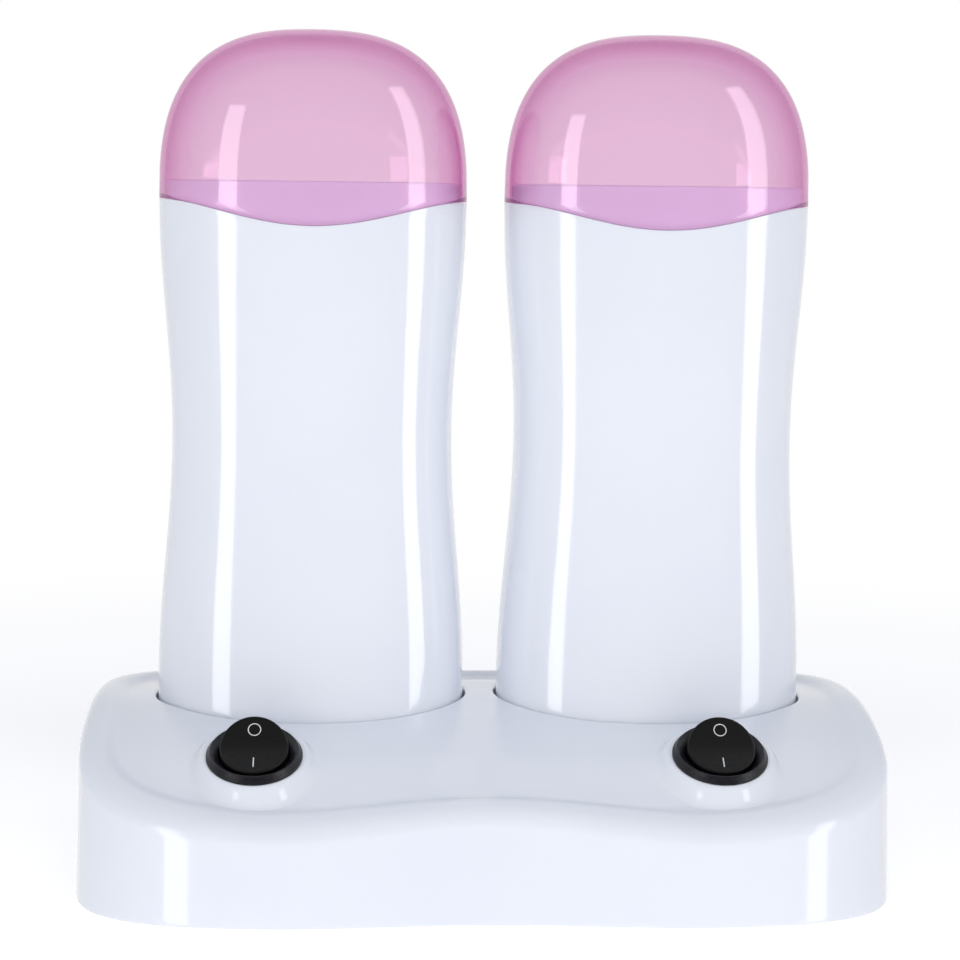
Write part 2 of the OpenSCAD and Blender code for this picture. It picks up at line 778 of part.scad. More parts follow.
module thermostat() {
    gap = fit_gap + clip_t + fit_gap;
    color(black)
    translate([-thermostat_w / 2, -sleeve_d / 2 - gap - thermostat_t,
        clip_z + (clip_h - thermostat_h) / 2])
        cube([thermostat_w, thermostat_t, thermostat_h]);
}

module bottom_cap() {
    color(white)
    difference() {
        translate([0, 0, bottom_z]) linear_extrude(cover_t)
            polygon(oval(foot_w - 2 * (bottom_in + fit_gap), handset_d - 2 * (bottom_in + fit_gap),
                oval_square));
        centred_box(socket_w + 2 * fit_gap, socket_t + 2 * fit_gap, -past, bottom_top + past);
        for (s = [-1, 1]) translate([s * handset_post_x, 0, 0]) {
            cylinder(d = screw_d + 2 * fit_gap, h = bottom_top + past);
            cylinder(r = screw_head_r + fit_gap, h = bottom_z + screw_head_h);
        }
    }
}

module bottom_screws() {
    color(metal)
    for (s = [-1, 1]) translate([s * handset_post_x, 0, bottom_z]) screw(screw_l - 1);
}

module handset_inlet() {
    color(black) translate([0, 0, bottom_top - socket_panel]) socket();
}
module handset_pins() {
    color(brass) translate([0, 0, bottom_top - socket_panel]) socket_pins();
}

// The clear dome: its rim follows the seam, flush with the shell
module cap() {
    skirt_top = shoulder_h + 1.5;
    color(pink)
    difference() {
        loft(concat(
            [seam_ring(0, seam_gap), handset_ring(skirt_top, 0)],
            [for (a = [14, 28, 40, 52, 62, 70, 77, 83, 87]) dome_ring(a, 0)]
        ));
        loft(concat(
            [seam_ring(cap_wall, -seam_dip), handset_ring(skirt_top, cap_wall)],
            [for (a = [20, 38, 54, 66, 76, 84]) dome_ring(a, cap_wall)]
        ));
    }
}

module left_handset_shell() { at_handset(-1) handset_shell(); }
module right_handset_shell() { at_handset(1) handset_shell(); }
module left_chamber() { at_handset(-1) chamber(); }
module right_chamber() { at_handset(1) chamber(); }
module left_heat_sleeve() { at_handset(-1) heat_sleeve(); }
module right_heat_sleeve() { at_handset(1) heat_sleeve(); }
module left_ptc_heater() { at_handset(-1) ptc_heater(); }
module right_ptc_heater() { at_handset(1) ptc_heater(); }
module left_heater_clip() { at_handset(-1) heater_clip(); }
module right_heater_clip() { at_handset(1) heater_clip(); }
module left_thermostat() { at_handset(-1) thermostat(); }
module right_thermostat() { at_handset(1) thermostat(); }
module left_bottom_cap() { at_handset(-1) bottom_cap(); }
module right_bottom_cap() { at_handset(1) bottom_cap(); }
module left_bottom_screws() { at_handset(-1) bottom_screws(); }
module right_bottom_screws() { at_handset(1) bottom_screws(); }
module left_handset_inlet() { at_handset(-1) handset_inlet(); }
module right_handset_inlet() { at_handset(1) handset_inlet(); }
module left_handset_pins() { at_handset(-1) handset_pins(); }
module right_handset_pins() { at_handset(1) handset_pins(); }
module left_cap() { at_handset(-1) cap(); }
module right_cap() { at_handset(1) cap(); }

base_shell();
base_cover();
cover_screws();
rubber_feet();
power_inlet();
power_inlet_pins();
left_dock_plug();
right_dock_plug();
left_dock_contacts();
right_dock_contacts();
left_switch_body();
right_switch_body();
left_switch_terminals();
right_switch_terminals();
left_rocker();
right_rocker();
left_handset_shell();
right_handset_shell();
left_chamber();
right_chamber();
left_heat_sleeve();
right_heat_sleeve();
left_ptc_heater();
right_ptc_heater();
left_heater_clip();
right_heater_clip();
left_thermostat();
right_thermostat();
left_bottom_cap();
right_bottom_cap();
left_bottom_screws();
right_bottom_screws();
left_handset_inlet();
right_handset_inlet();
left_handset_pins();
right_handset_pins();
left_cap();
right_cap();
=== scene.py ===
"""A twin roll-on wax heater: two oval handsets with clear caps in a base station.

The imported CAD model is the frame. The moulded shells, the caps, the switches and the
rockers are modelled here as fine meshes from the same driving sizes, and the other
CAD pieces get their own materials.
"""

import json
from math import cos, pi, radians, sin, sqrt, tan

import bmesh
import bpy
import numpy as np
from mathutils import Matrix, Vector
from mathutils.geometry import delaunay_2d_cdt

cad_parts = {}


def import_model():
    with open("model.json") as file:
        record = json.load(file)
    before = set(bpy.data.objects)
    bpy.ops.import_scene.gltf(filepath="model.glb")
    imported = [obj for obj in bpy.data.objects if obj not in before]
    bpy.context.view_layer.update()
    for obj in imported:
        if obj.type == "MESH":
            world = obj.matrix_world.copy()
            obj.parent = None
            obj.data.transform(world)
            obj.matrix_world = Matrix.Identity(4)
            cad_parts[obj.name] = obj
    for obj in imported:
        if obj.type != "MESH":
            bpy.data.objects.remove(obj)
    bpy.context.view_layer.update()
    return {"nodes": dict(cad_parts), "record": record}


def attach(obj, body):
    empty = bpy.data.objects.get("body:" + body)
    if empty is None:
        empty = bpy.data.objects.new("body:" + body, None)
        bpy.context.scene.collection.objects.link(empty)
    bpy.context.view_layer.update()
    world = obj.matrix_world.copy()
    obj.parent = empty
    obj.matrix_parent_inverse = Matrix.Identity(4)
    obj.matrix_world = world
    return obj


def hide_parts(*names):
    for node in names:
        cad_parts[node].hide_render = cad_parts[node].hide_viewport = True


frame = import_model()
MM = 0.001

# ---- Driving sizes, in millimetres ----
# They are the CAD's, apart from the seam's gap, the handsets' squareness at the grip and the
# shoulder, and the bosses' radii, which follow the photo a little more closely here.

BASE_W, BASE_D, BASE_SQUARE = 198.6, 106.0, 4.6
WAIST_FOOT, WAIST_DECK, LOBE_X = 3.4, 5.6, 55.0
BASE_WALL, WALL_LEAN, RIM_R, RIM_FLAT = 2.4, 0.8, 3.4, 1.2
DECK_H, DECK_FALL_BACK = 43.7, 1.7
GROOVE_IN, GROOVE_DEPTH, GROOVE_SPREAD = 10.0, 1.3, 15.0
FOOT_H, EDGE_R = 0.8, 0.6

SWITCH_SPACING, SWITCH_FORWARD, SWITCH_TILT = 111.4, 42.7, 23.1
BOSS_H, BOSS_TOP_OUT, BOSS_FOOT_OUT = 2.2, 0.5, 4.2
BEZEL_D, BEZEL_H = 23.0, 2.0
SWITCH_HOLE_D, SWITCH_HOLE_DEPTH = 20.2, 6.0
BARREL_D, BARREL_H, BARREL_FLOOR = 20.0, 12.5, 5.0
ROCKER_D, ROCKER_THROW, ROCKER_DISH = 16.3, 40.0, 12.0
ROCKER_FACE_H, ROCKER_PIN_D, ROCKER_SKIRT = 2.3, 1.2, 3.0
FACE_SOFT, FACE_SINK, SIDE_GAP = 2.2, 0.55, 0.35
MARK_AT, MARK_LIFT = 4.6, 0.03
RING_R, RING_IN_R = 1.58, 1.36
BAR_L, BAR_W = 3.0, 0.28
MOVE_GAP, FIT_GAP, SEAM_GAP, PIN_GAP = 0.3, 0.1, 0.08, 0.1

DOCK_SPACING, DOCK_Y = 86.0, 12.5
WELL_FLOOR_H, WELL_GAP, MOUTH_R, WELL_FLOOR_R = 25.3, 0.6, 0.7, 0.4
PIN_PITCH, SOCKET_R, SOCKET_WALL, POWER_H = 8.6, 4.2, 1.8, 15.0
POCKET_MARGIN, POCKET_DEPTH, SOCKET_DEPTH = 3.2, 1.0, 3.0

FOOT_W, GRIP_W, SHOULDER_W = 77.4, 70.2, 76.6
HANDSET_D, GRIP_D = 48.0, 47.2
STRAIGHT_H, GRIP_H, SHOULDER_H = 21.2, 84.8, 142.4
SEAM_DIP, HANDSET_WALL, SHELL_EDGE = 6.1, 1.6, 0.12
BOTTOM_LIP, BOTTOM_RECESS = 0.8, 3.5
OVAL_SQUARE, GRIP_SQUARE, SHOULDER_SQUARE = 2.2, 2.35, 2.07
CHAMBER_W, CHAMBER_T, CHAMBER_SQUARE, CHAMBER_FLOOR_R = 61.6, 32.4, 2.6, 2.0
CHAMBER_DEPTH, COLLAR_RISE, COLLAR_DEPTH, COLLAR_R = 107.0, 4.7, 26.0, 0.7
CAP_H, CAP_WALL, CAP_SQUARE, CAP_EDGE = 42.0, 1.2, 2.7, 0.1

# Worked out from them
SWITCH_Y = DOCK_Y - SWITCH_FORWARD
FALL_FRONT = tan(radians(SWITCH_TILT)) / (2 * SWITCH_FORWARD)
FALL_BACK = DECK_FALL_BACK / (BASE_D / 2 - DOCK_Y) ** 2
SWITCH_FOOT_H = DECK_H - FALL_FRONT * SWITCH_FORWARD ** 2
CREST_IN = WALL_LEAN + RIM_R + RIM_FLAT
BOSS_TOP_R = BEZEL_D / 2 + BOSS_TOP_OUT
BOSS_FOOT_R = BEZEL_D / 2 + BOSS_FOOT_OUT
HANDSET_Z = WELL_FLOOR_H + MOVE_GAP
COLLAR_H = SHOULDER_H + COLLAR_RISE
CHAMBER_FLOOR = COLLAR_H - CHAMBER_DEPTH
BEZEL_IN_R = sqrt((ROCKER_D / 2) ** 2
                  + (ROCKER_FACE_H + ROCKER_D / 2 * tan(radians(ROCKER_DISH))) ** 2) + MOVE_GAP
PIVOT_H = MOVE_GAP + PIN_GAP + ROCKER_PIN_D / 2
BOTTOM_IN = HANDSET_WALL + BOTTOM_LIP
SIDES = {"left": -1, "right": 1}

# How finely the meshes are cut
BASE_POINTS = 480
OVAL_POINTS = 224
ROUND_POINTS = 96
RIM_BAND, RIM_STEP, GRID_STEP = 17.0, 0.75, 1.3
# The radius at which a turned shape that ends on its axis is left open
TIP_R = 0.01

# Edges up to these angles, in degrees, are shaded smooth
SMOOTH, CAP_SMOOTH, CAD_SMOOTH = 32, 60, 30


# ---- Curves ----

def oval_points(a, b, square, count):
    """Points of a superellipse of half-sizes a and b, as an array of x and y."""
    t = (np.arange(count) + 0.5) * 2 * pi / count
    c, s = np.cos(t), np.sin(t)
    r = (np.abs(c) ** square + np.abs(s) ** square) ** (-1 / square)
    return np.stack([a * r * c, b * r * s], -1)


def oval(w, d, square):
    return oval_points(w / 2, d / 2, square, OVAL_POINTS)


def quarter(count):
    """Angles of a quarter turn."""
    return np.linspace(0, pi / 2, count)


def ease(a, b, s):
    """A smooth step from a to b as s goes from 0 to 1."""
    return a + (b - a) * (1 - np.cos(pi * np.clip(s, 0, 1))) / 2


def at_height(points, z):
    """Points of x and y, given one height or one height each."""
    return np.column_stack([points, np.broadcast_to(z, len(points))])


# ---- Mesh helpers ----

def make_object(name, verts, faces, smooth_angle=SMOOTH):
    """A smooth-shaded mesh object from points in millimetres."""
    mesh = bpy.data.meshes.new(name)
    mesh.from_pydata([tuple(v) for v in np.asarray(verts) * MM], [], faces)
    mesh.validate()
    bm = bmesh.new()
    bm.from_mesh(mesh)
    bmesh.ops.remove_doubles(bm, verts=bm.verts, dist=1e-7)
    bmesh.ops.recalc_face_normals(bm, faces=bm.faces)
    bm.to_mesh(mesh)
    bm.free()
    shade(mesh, smooth_angle)
    obj = bpy.data.objects.new(name, mesh)
    bpy.context.scene.collection.objects.link(obj)
    return obj


def shade(mesh, angle):
    mesh.polygons.foreach_set("use_smooth", np.ones(len(mesh.polygons), bool))
    mesh.set_sharp_from_angle(angle=radians(angle))


def loft_faces(rings, count, first=0):
    """Quads between rings of count points each, from vertex first on."""
    faces = []
    for k in range(rings - 1):
        for i in range(count):
            j = (i + 1) % count
            low, high = first + k * count, first + (k + 1) * count
            faces.append((low + i, low + j, high + j, high + i))
    return faces


def cap_faces(first, count):
    """Quads that close a ring across its narrow way."""
    half = count // 2
    return [(first + i, first + i + 1, first + count - 2 - i, first + count - 1 - i)
            for i in range(half - 1)]


def loft(name, rings, closed_ends=False, smooth_angle=SMOOTH):
    """A skin over rings of equal count, with both ends open unless asked otherwise."""
    count = len(rings[0])
    verts = np.concatenate(rings)
    faces = loft_faces(len(rings), count)
    if closed_ends:
        faces += cap_faces(0, count)
        faces += cap_faces((len(rings) - 1) * count, count)
    return make_object(name, verts, faces, smooth_angle)


def circle(r, count=ROUND_POINTS):
    t = np.arange(count) * 2 * pi / count
    return np.column_stack([r * np.cos(t), r * np.sin(t)])


def turned_ring(r, z):
    return at_height(circle(r), float(z))


def round_corner(r, start, end, steps, centre):
    """Radius and height along an arc of radius r, from one angle to the other."""
    return [(centre[0] + r * cos(radians(a)), centre[1] + r * sin(radians(a)))
            for a in np.linspace(start, end, steps)]


def finish_piece(obj, body, slot, material, *nodes):
    """Gives a piece its material and its body, and hides the CAD nodes it stands for. Its slot
    is not used.
    """
    obj.data.materials.clear()
    obj.data.materials.append(material)
    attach(obj, body)
    if nodes:
        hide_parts(*nodes)


# ---- Materials ----

class Nodes:
    """A short way to write a material's node tree."""

    def __init__(self, name):
        self.material = bpy.data.materials.new(name)
        self.material.use_nodes = True
        self.tree = self.material.node_tree
        self.tree.nodes.clear()
        self.out = self.add("ShaderNodeOutputMaterial")
        self.where = self.add("ShaderNodeTexCoord").outputs["Object"]

    def add(self, kind, **values):
        node = self.tree.nodes.new(kind)
        for key, value in values.items():
            setattr(node, key, value)
        return node

    def link(self, source, target):
        self.tree.links.new(source, target)

    def noise(self, scale, detail):
        node = self.add("ShaderNodeTexNoise")
        node.inputs["Scale"].default_value = scale
        node.inputs["Detail"].default_value = detail
        self.link(self.where, node.inputs["Vector"])
        return node.outputs["Fac"]

    def ramp(self, source, low, high, start=0.35, end=0.65):
        """Colours or greys from low to high as source goes from start to end."""
        node = self.add("ShaderNodeValToRGB")
        for stop, place, colour in zip(node.color_ramp.elements, (start, end), (low, high)):
            stop.position = place
            stop.color = colour if hasattr(colour, "__len__") else (colour, colour, colour, 1)
        self.link(source, node.inputs["Fac"])
        return node.outputs["Color"]

    def bump(self, source, strength, distance):
        node = self.add("ShaderNodeBump")
        node.inputs["Strength"].default_value = strength
        node.inputs["Distance"].default_value = distance
        self.link(source, node.inputs["Height"])
        return node.outputs["Normal"]

    def surface(self, **sockets):
        """A Principled shader with plain values and linked sources."""
        shader = self.add("ShaderNodeBsdfPrincipled")
        for key, value in sockets.items():
            socket = shader.inputs[key.replace("_", " ")]
            if isinstance(value, bpy.types.NodeSocket):
                self.link(value, socket)
            else:
                socket.default_value = value
        self.link(shader.outputs["BSDF"], self.out.inputs["Surface"])
        return shader


def srgb(r, g, b):
    """A colour given as 0 to 255, in the linear values that shaders take."""
    def line(v):
        v /= 255
        return v / 12.92 if v <= 0.04045 else ((v + 0.055) / 1.055) ** 2.4
    return (line(r), line(g), line(b), 1.0)


def any_of(tree, *sources):
    """The greatest of several ray tests."""
    source = sources[0]
    for other in sources[1:]:
        node = tree.nodes.new("ShaderNodeMath")
        node.operation = "MAXIMUM"
        tree.links.new(source, node.inputs[0])
        tree.links.new(other, node.inputs[1])
        source = node.outputs[0]
    return source


def white_plastic(name, low, high):
    m = Nodes(name)
    tint = m.ramp(m.noise(22, 3), low, high)
    rough = m.ramp(m.noise(300, 2), 0.08, 0.13)
    m.surface(
        Base_Color=tint, Roughness=rough, IOR=1.49,
        Coat_Weight=0.5, Coat_Roughness=0.03,
        Normal=m.bump(m.noise(90, 2), 0.03, 0.0003),
    )
    return m.material


def pink_clear():
    """Dyed clear plastic with painted edge shade: a tint that deepens as the surface turns from
    the view stands in for light's longer path through the wall there, so it is deeper towards
    its edges. Light passes to what is inside.
    """
    m = Nodes("pink_clear_plastic_painted_edge_shade")
    # Painted edge shade: the facing angle deepens the pink towards the cap's outline
    facing = m.add("ShaderNodeLayerWeight")
    facing.inputs["Blend"].default_value = 0.5
    edge = m.ramp(facing.outputs["Facing"], 0.0, 1.0, 0.14, 0.88)
    tint = m.add("ShaderNodeMix", data_type="RGBA")
    m.link(edge, tint.inputs[0])
    pale = m.ramp(m.noise(30, 2), (0.985, 0.975, 0.98, 1), (0.995, 0.985, 0.99, 1))
    m.link(pale, tint.inputs[6])
    # Colour of the painted edge shade at the outline
    tint.inputs[7].default_value = (0.6, 0.2, 0.48, 1)
    clear = m.surface(
        Base_Color=tint.outputs[2], Roughness=m.ramp(m.noise(250, 2), 0.01, 0.03),
        IOR=1.46, Transmission_Weight=1.0,
        Normal=m.bump(m.noise(60, 2), 0.004, 0.0002),
    )
    dye = m.add("ShaderNodeVolumeAbsorption")
    dye.inputs["Color"].default_value = (0.69, 0.035, 0.517, 1)
    dye.inputs["Density"].default_value = 270.0
    m.link(dye.outputs["Volume"], m.out.inputs["Volume"])
    # Shadows pass, and so does light that would be caught in the wall and come out black
    path = m.add("ShaderNodeLightPath")
    through = m.add("ShaderNodeBsdfTransparent")
    trapped = m.add("ShaderNodeMath", operation="GREATER_THAN")
    m.link(path.outputs["Glossy Depth"], trapped.inputs[0])
    trapped.inputs[1].default_value = 1.5
    mix = m.add("ShaderNodeMixShader")
    m.link(any_of(m.tree, path.outputs["Is Shadow Ray"], trapped.outputs[0]), mix.inputs["Fac"])
    m.link(clear.outputs[0], mix.inputs[1])
    m.link(through.outputs[0], mix.inputs[2])
    m.link(mix.outputs[0], m.out.inputs["Surface"])
    return m.material


def switch_black():
    m = Nodes("switch_black_plastic")
    m.surface(
        Base_Color=m.ramp(m.noise(1500, 2), srgb(4, 4, 5), srgb(7, 7, 8)),
        Roughness=m.ramp(m.noise(2200, 2), 0.42, 0.6), IOR=1.35,
        Normal=m.bump(m.noise(2600, 3), 0.12, 0.0001),
    )
    return m.material


def bezel_black():
    m = Nodes("bezel_black_plastic")
    m.surface(
        Base_Color=m.ramp(m.noise(1200, 2), srgb(13, 13, 20), srgb(23, 23, 32)),
        Roughness=m.ramp(m.noise(1600, 2), 0.3, 0.45), IOR=1.42,
        Normal=m.bump(m.noise(1900, 3), 0.35, 0.00015),
    )
    return m.material


def print_white():
    m = Nodes("print_white")
    m.surface(
        Base_Color=m.ramp(m.noise(900, 2), srgb(222, 223, 224), srgb(236, 237, 238)),
        Roughness=m.ramp(m.noise(1500, 2), 0.45, 0.6),
    )
    return m.material


def black_plastic():
    m = Nodes("socket_black_plastic")
    m.surface(
        Base_Color=m.ramp(m.noise(400, 2), srgb(27, 27, 29), srgb(38, 38, 40)),
        Roughness=m.ramp(m.noise(900, 2), 0.45, 0.6),
        Normal=m.bump(m.noise(1500, 2), 0.1, 0.0001),
    )
    return m.material


def foot_rubber():
    m = Nodes("foot_rubber")
    m.surface(
        Base_Color=m.ramp(m.noise(350, 3), srgb(52, 52, 54), srgb(70, 70, 72)),
        Roughness=m.ramp(m.noise(700, 2), 0.75, 0.9),
        Normal=m.bump(m.noise(1200, 3), 0.25, 0.0002),
    )
    return m.material


def metal(name, low, high, rough_low, rough_high, scale):
    m = Nodes(name)
    m.surface(
        Base_Color=m.ramp(m.noise(scale, 3), low, high), Metallic=1.0,
        Roughness=m.ramp(m.noise(scale * 3, 2), rough_low, rough_high),
        Normal=m.bump(m.noise(scale * 5, 2), 0.06, 0.0001),
    )
    return m.material


def ceramic():
    m = Nodes("heater_ceramic")
    m.surface(
        Base_Color=m.ramp(m.noise(240, 4), srgb(214, 209, 196), srgb(228, 224, 213)),
        Roughness=m.ramp(m.noise(500, 2), 0.6, 0.8),
        Normal=m.bump(m.noise(900, 3), 0.2, 0.0001),
    )
    return m.material


MATERIALS = {
    "white_plastic": white_plastic("white_gloss_plastic",
                                   srgb(240, 243, 251), srgb(242, 245, 252)),
    "pink_clear": pink_clear(),
    "switch_black": switch_black(),
    "black_plastic": black_plastic(),
    "foot_rubber": foot_rubber(),
    "zinc_steel": metal("zinc_steel", srgb(176, 178, 182), srgb(200, 202, 206),
                        0.25, 0.4, 260),
    "contact_brass": metal("contact_brass", srgb(190, 158, 92), srgb(212, 182, 118),
                           0.2, 0.35, 300),
    "sleeve_aluminium": metal("sleeve_aluminium", srgb(196, 198, 201), srgb(214, 216, 219),
                              0.28, 0.42, 180),
    "heater_ceramic": ceramic(),
}
# Painted light: a bluer copy of the white plastic, whose tint stands in for the light that
# reaches the collar through the cap
COLLAR_PAINTED_LIGHT = white_plastic("collar_plastic_painted_light", srgb(235, 243, 254), srgb(238, 245, 255))
BEZEL = bezel_black()
PRINT = print_white()


# ---- Base station ----

def base_outline(inset, waist):
    """The footprint's outline, set in by inset, with its waist drawn in by waist."""
    p = oval_points(BASE_W / 2 - inset, BASE_D / 2 - inset, BASE_SQUARE, BASE_POINTS)
    p[:, 1] *= 1 - waist_share(p[:, 0]) * waist / (BASE_D / 2)
    return p


def waist_share(x):
    """1 at the middle of the waist, 0 from the lobes on."""
    return np.where(np.abs(x) < LOBE_X, np.cos(pi / 2 * x / LOBE_X) ** 2, 0.0)


def deck_z(y):
    """The deck's arch, from front to back."""
    return DECK_H - np.where(y < DOCK_Y, FALL_FRONT, FALL_BACK) * (y - DOCK_Y) ** 2


def rim_drop(inset):
    """How far the deck lies below its arch at a distance in from the foot outline."""
    inner = ease(0, GROOVE_DEPTH, (inset - CREST_IN) / (GROOVE_IN - CREST_IN))
    outer = ease(GROOVE_DEPTH, 0, (inset - GROOVE_IN) / GROOVE_SPREAD)
    return np.where(inset < GROOVE_IN, inner, outer)


def inset_of(x, y):
    """How far a point of the deck lies in from the foot outline, found by halving."""
    flat_y = y / (1 - waist_share(x) * WAIST_DECK / (BASE_D / 2))
    low = np.zeros_like(x)
    high = np.full_like(x, BASE_D / 2 - 0.01)
    for _ in range(40):
        mid = (low + high) / 2
        a, b = BASE_W / 2 - mid, BASE_D / 2 - mid
        inside = (np.abs(x) / a) ** BASE_SQUARE + (np.abs(flat_y) / b) ** BASE_SQUARE < 1
        low, high = np.where(inside, mid, low), np.where(inside, high, mid)
    return low


def from_switch(x, y, side):
    """Distance from a switch's middle, along the slope that its boss stands on."""
    u = x - side * SWITCH_SPACING / 2
    v = (y - SWITCH_Y) / cos(radians(SWITCH_TILT))
    return np.sqrt(u * u + v * v)


def from_dock(x, y, side, out):
    """Under 1 inside the outline of a well's wall set out by out, and over 1 outside it."""
    u = (x - side * DOCK_SPACING / 2) / (FOOT_W / 2 + WELL_GAP + out)
    v = (y - DOCK_Y) / (HANDSET_D / 2 + WELL_GAP + out)
    return np.abs(u) ** OVAL_SQUARE + np.abs(v) ** OVAL_SQUARE


def clear_of_holes(x, y, well_out, boss_out):
    """True for points outside the wells' mouths and the bosses' feet, by these margins."""
    ok = np.ones(len(x), bool)
    for side in SIDES.values():
        ok &= from_dock(x, y, side, MOUTH_R + well_out) > 1
        ok &= from_switch(x, y, side) > BOSS_FOOT_R + boss_out
    return ok


def boss_share(x, y):
    """1 on a switch's boss, 0 away from it, with a soft shoulder and a soft foot."""
    share = np.zeros_like(x)
    for side in SIDES.values():
        down = (from_switch(x, y, side) - BOSS_TOP_R) / (BOSS_FOOT_R - BOSS_TOP_R)
        share = np.maximum(share, ease(1, 0, down))
    return share


def deck_height(x, y):
    """The finished deck: arch, rim, groove and switch bosses."""
    ground = deck_z(y) - rim_drop(inset_of(x, y))
    plane = (SWITCH_FOOT_H + BOSS_H / cos(radians(SWITCH_TILT))
             + tan(radians(SWITCH_TILT)) * (y - SWITCH_Y))
    return ground + (plane - ground) * boss_share(x, y)


def deck_normals(x, y):
    step = 0.02
    dx = (deck_height(x + step, y) - deck_height(x - step, y)) / (2 * step)
    dy = (deck_height(x, y + step) - deck_height(x, y - step)) / (2 * step)
    n = np.stack([-dx, -dy, np.ones_like(dx)], -1)
    return n / np.linalg.norm(n, axis=1)[:, None]


def on_deck(p, down=0.0):
    """Points of x and y, laid on the deck or a little below it."""
    return at_height(p, deck_height(p[:, 0], p[:, 1]) - down)


def deck_points():
    """Free points of the deck: rings that follow the rim, then an even grid."""
    first_ring, grid_gap = CREST_IN + 0.6, 0.4
    rings = [base_outline(i, WAIST_DECK) for i in np.arange(first_ring, RIM_BAND, RIM_STEP)]
    xs = np.arange(-BASE_W / 2, BASE_W / 2, GRID_STEP)
    ys = np.arange(-BASE_D / 2, BASE_D / 2, GRID_STEP)
    gx, gy = (g.ravel() for g in np.meshgrid(xs, ys))
    keep = (np.abs(gx) < BASE_W / 2 - RIM_BAND) & (np.abs(gy) < BASE_D / 2 - RIM_BAND)
    keep[keep] = inset_of(gx[keep], gy[keep]) > RIM_BAND + grid_gap
    rings.append(np.stack([gx[keep], gy[keep]], -1))
    return np.concatenate(rings)


def mouth_ring(side, out):
    """A ring round the mouth of a well, out from its wall."""
    grow = 2 * (WELL_GAP + out)
    p = oval(FOOT_W + grow, HANDSET_D + grow, OVAL_SQUARE)
    return p + [side * DOCK_SPACING / 2, DOCK_Y]


def boss_ring(side, r):
    """A ring round a switch that is a circle when it is seen along the switch's axis."""
    p = oval_points(r, r * cos(radians(SWITCH_TILT)), 2, OVAL_POINTS)
    return p + [side * SWITCH_SPACING / 2, SWITCH_Y]


def wall_rings():
    """From inside the wall, round its foot and over the rim to the rim's crest."""
    inner_edge, inside_h = 0.2, 5.0
    foot = [(BASE_WALL, FOOT_H + inside_h), (BASE_WALL, FOOT_H + inner_edge),
            (BASE_WALL - inner_edge, FOOT_H)]
    for a in quarter(5):
        foot.append((EDGE_R * (1 - sin(a)), FOOT_H + EDGE_R * (1 - cos(a))))
    rings = [at_height(base_outline(i, WAIST_FOOT), z) for i, z in foot]
    low, top = base_outline(0, WAIST_FOOT), base_outline(WALL_LEAN, WAIST_DECK)
    for s in np.linspace(0, 1, 26)[1:]:
        z = (FOOT_H + EDGE_R) * (1 - s) + (deck_z(top[:, 1]) - RIM_R) * s
        rings.append(at_height(low + (top - low) * s, z))
    for a in quarter(15)[1:]:
        p = base_outline(WALL_LEAN + RIM_R * (1 - cos(a)), WAIST_DECK)
        rings.append(at_height(p, deck_z(p[:, 1]) - RIM_R * (1 - sin(a))))
    rings.append(on_deck(base_outline(CREST_IN, WAIST_DECK)))
    return rings


def well_rings(side):
    """A well, from the edge of its floor up its wall and over its mouth."""
    wall = mouth_ring(side, 0)
    rings = [at_height(mouth_ring(side, -WELL_FLOOR_R), WELL_FLOOR_H)]
    rings += [at_height(wall, WELL_FLOOR_H + h) for h in (0.0, WELL_FLOOR_R, 4.0, 8.0)]
    for a in quarter(7):
        rings.append(on_deck(mouth_ring(side, MOUTH_R * (1 - cos(a))), MOUTH_R * (1 - sin(a))))
    return rings


def boss_rings(side):
    """A boss, from the depth of its panel hole up and out to its foot."""
    hole_r = SWITCH_HOLE_D / 2
    rings = [on_deck(boss_ring(side, r))
             for r in [hole_r] + list(np.linspace(hole_r + 1, BOSS_FOOT_R, 18))]
    down = np.array((0, sin(radians(SWITCH_TILT)), -cos(radians(SWITCH_TILT))))
    return [rings[0] + down * SWITCH_HOLE_DEPTH] + rings


def deck_net(loops):
    """A triangle net over the deck that meets these loops and leaves their holes open."""
    points, edges = [], []
    for loop in loops:
        first = len(points)
        points.extend(loop)
        edges.extend((first + i, first + (i + 1) % len(loop)) for i in range(len(loop)))
    free = deck_points()
    points.extend(free[clear_of_holes(free[:, 0], free[:, 1], well_out=0.5, boss_out=0.8)])
    out = delaunay_2d_cdt([Vector(p) for p in points], edges, [], 0, 1e-6)
    flat = np.array([tuple(v) for v in out[0]])
    x, y = flat[np.array(out[2])].mean(1).T
    kept = (inset_of(x, y) > CREST_IN) & clear_of_holes(x, y, 0, 0)
    return on_deck(flat), [f for f, ok in zip(out[2], kept) if ok]


def base_skin(material):
    """The base shell: rim, wall, wells and bosses as rings, the deck as a net round them."""
    verts, faces = [], []
    loops = [base_outline(CREST_IN, WAIST_DECK)]
    loops += [mouth_ring(side, MOUTH_R) for side in SIDES.values()]
    loops += [boss_ring(side, BOSS_FOOT_R) for side in SIDES.values()]
    parts = [wall_rings()]
    parts += [well_rings(side) for side in SIDES.values()]
    parts += [boss_rings(side) for side in SIDES.values()]
    for rings in parts:
        first = sum(len(v) for v in verts)
        verts.extend(rings)
        faces.extend(loft_faces(len(rings), len(rings[0]), first))
        faces.extend(cap_faces(first, len(rings[0])))
    first = sum(len(v) for v in verts)
    points, net = deck_net(loops)
    verts.append(points)
    faces.extend(tuple(first + i for i in f) for f in net)

    obj = make_object("base_shell_skin", np.concatenate(verts), faces)
    cut_pocket(obj)
    polish_deck(obj)
    finish_piece(obj, "base", "white_plastic", material, "base_shell")


